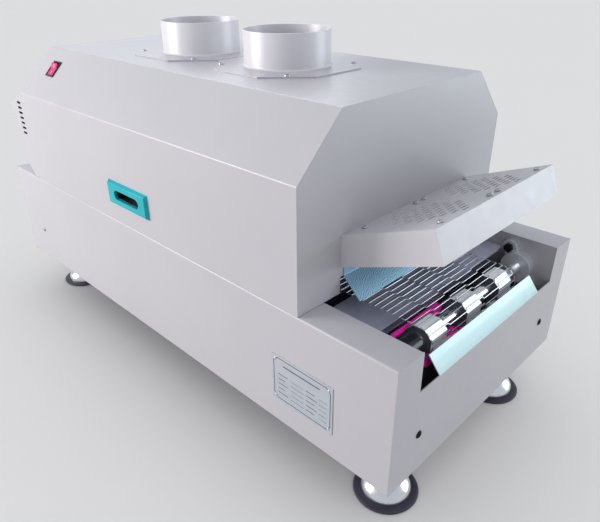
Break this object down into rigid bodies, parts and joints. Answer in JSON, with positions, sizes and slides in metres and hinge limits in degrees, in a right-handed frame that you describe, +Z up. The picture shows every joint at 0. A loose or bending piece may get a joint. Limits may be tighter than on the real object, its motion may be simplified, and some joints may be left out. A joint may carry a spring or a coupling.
{
  "type": "conveyor reflow oven",
  "caption": "Bench conveyor reflow oven: long sheet-metal base with a wire belt, chamfered lift-up hood with round exhaust spigots, and a tilted fan cowl over the outlet.",
  "frame": {"origin": "on the floor, under the middle of the base", "axes": "+X towards the outlet end, -Y to the front with the switch and handle, +Z up"},
  "size_m": [0.939, 0.4408, 0.546],
  "materials": {
    "painted_sheet": "fine-textured satin powder coat, warm lilac grey",
    "galvanised_sheet": "dull galvanised sheet",
    "bright_sheet": "bright sheet with a swirled grain",
    "belt_wire": "stainless wire",
    "polished_steel": "polished steel",
    "bearing_iron": "cast grey iron with a machined hub",
    "black_steel": "blackened steel",
    "red_enamel": "red enamel",
    "foot_rubber": "black rubber",
    "teal_plastic": "glossy teal plastic",
    "black_plastic": "black moulded plastic",
    "red_plastic": "red translucent rocker",
    "plate_aluminium": "brushed aluminium",
    "zinc_screw": "zinc-plated steel",
    "quartz_glass": "frosted quartz tube",
    "ceramic_board": "ceramic fibre board",
    "lead_sleeve": "braided lead sleeve",
    "keypad_film": "dark printed film"
  },
  "bodies": {
    "base": {"base_shell": "painted_sheet", "outlet_end_panel": "painted_sheet", "inlet_end_panel": "painted_sheet", "front_side_frame": "painted_sheet", "back_side_frame": "painted_sheet", "panel_screws": "zinc_screw", "nameplate": "plate_aluminium", "nameplate_rivets": "plate_aluminium", "power_inlet": "black_plastic", "foot_rubbers": "foot_rubber", "foot_cups": "polished_steel", "foot_studs": "polished_steel", "lower_deck": "galvanised_sheet", "belt_support_rods": "black_steel", "wire_belt": "belt_wire", "drive_bearings": "bearing_iron", "tail_bearings": "bearing_iron", "bearing_bolts": "black_steel", "gearmotor": "red_enamel", "drive_chain": "black_steel", "lower_heater_tray": "galvanised_sheet", "lower_heater_tubes": "quartz_glass", "power_supply": "plate_aluminium", "heater_relays": "black_plastic", "lead_loom": "lead_sleeve", "hinge_base_leaves": "galvanised_sheet", "hinge_pins": "polished_steel"},
    "drive_roller": {"drive_shaft": "polished_steel", "drive_drums": "polished_steel", "drive_collar": "black_steel", "drive_sprocket": "black_steel"},
    "tail_roller": {"tail_shaft": "polished_steel", "tail_drums": "polished_steel"},
    "motor_output": {"motor_shaft": "polished_steel", "motor_sprocket": "black_steel"},
    "hood": {"hinge_hood_leaves": "galvanised_sheet", "hood_skin": "painted_sheet", "hood_outlet_plate": "painted_sheet", "hood_inlet_plate": "painted_sheet", "upper_heater_tray": "galvanised_sheet", "upper_heater_tubes": "quartz_glass", "hood_insulation": "ceramic_board", "temperature_probes": "zinc_screw", "inlet_side_exhaust_plate": "painted_sheet", "outlet_side_exhaust_plate": "painted_sheet", "inlet_side_exhaust_spigot": "painted_sheet", "outlet_side_exhaust_spigot": "painted_sheet", "exhaust_screws": "zinc_screw", "handle_frame": "teal_plastic", "handle_cup": "black_plastic", "switch_bezel": "black_plastic", "control_console": "painted_sheet", "console_keypad": "keypad_film", "outlet_cowl": "painted_sheet", "fan_frames": "black_plastic", "cowl_screws": "zinc_screw", "outlet_flap": "bright_sheet"},
    "rocker": {"switch_rocker": "red_plastic"},
    "front_fan": {"front_fan_rotor": "black_plastic"},
    "back_fan": {"back_fan_rotor": "black_plastic"}
  },
  "joints": [
    {"name": "hood_hinge", "type": "hinge", "parent": "base", "child": "hood", "pos_m": [0, 0.2178, 0.2662], "axis": [-1, 0, 0], "range_deg": [0, 60]},
    {"name": "belt_drive", "type": "hinge", "parent": "base", "child": "drive_roller", "pos_m": [0.418, 0, 0.222], "axis": [0, 1, 0], "continuous": true},
    {"name": "belt_tail", "type": "hinge", "parent": "base", "child": "tail_roller", "pos_m": [-0.418, 0, 0.222], "axis": [0, 1, 0], "continuous": true},
    {"name": "motor_turn", "type": "hinge", "parent": "base", "child": "motor_output", "pos_m": [0.391, 0.169, 0.163], "axis": [0, 1, 0], "continuous": true},
    {"name": "switch_rock", "type": "hinge", "parent": "hood", "child": "rocker", "pos_m": [-0.298, -0.1701, 0.46383], "axis": [-1, 0, 0], "range_deg": [0, 20]},
    {"name": "front_fan_spin", "type": "hinge", "parent": "hood", "child": "front_fan", "pos_m": [0.39612, -0.062, 0.35188], "axis": [-0.3584, 0, 0.9336], "continuous": true},
    {"name": "back_fan_spin", "type": "hinge", "parent": "hood", "child": "back_fan", "pos_m": [0.39612, 0.062, 0.35188], "axis": [-0.3584, 0, 0.9336], "continuous": true}
  ],
  "couplings": [
    {"joint": "belt_tail", "follows": "belt_drive", "ratio": 1},
    {"joint": "motor_turn", "follows": "belt_drive", "ratio": 1.3333}
  ]
}
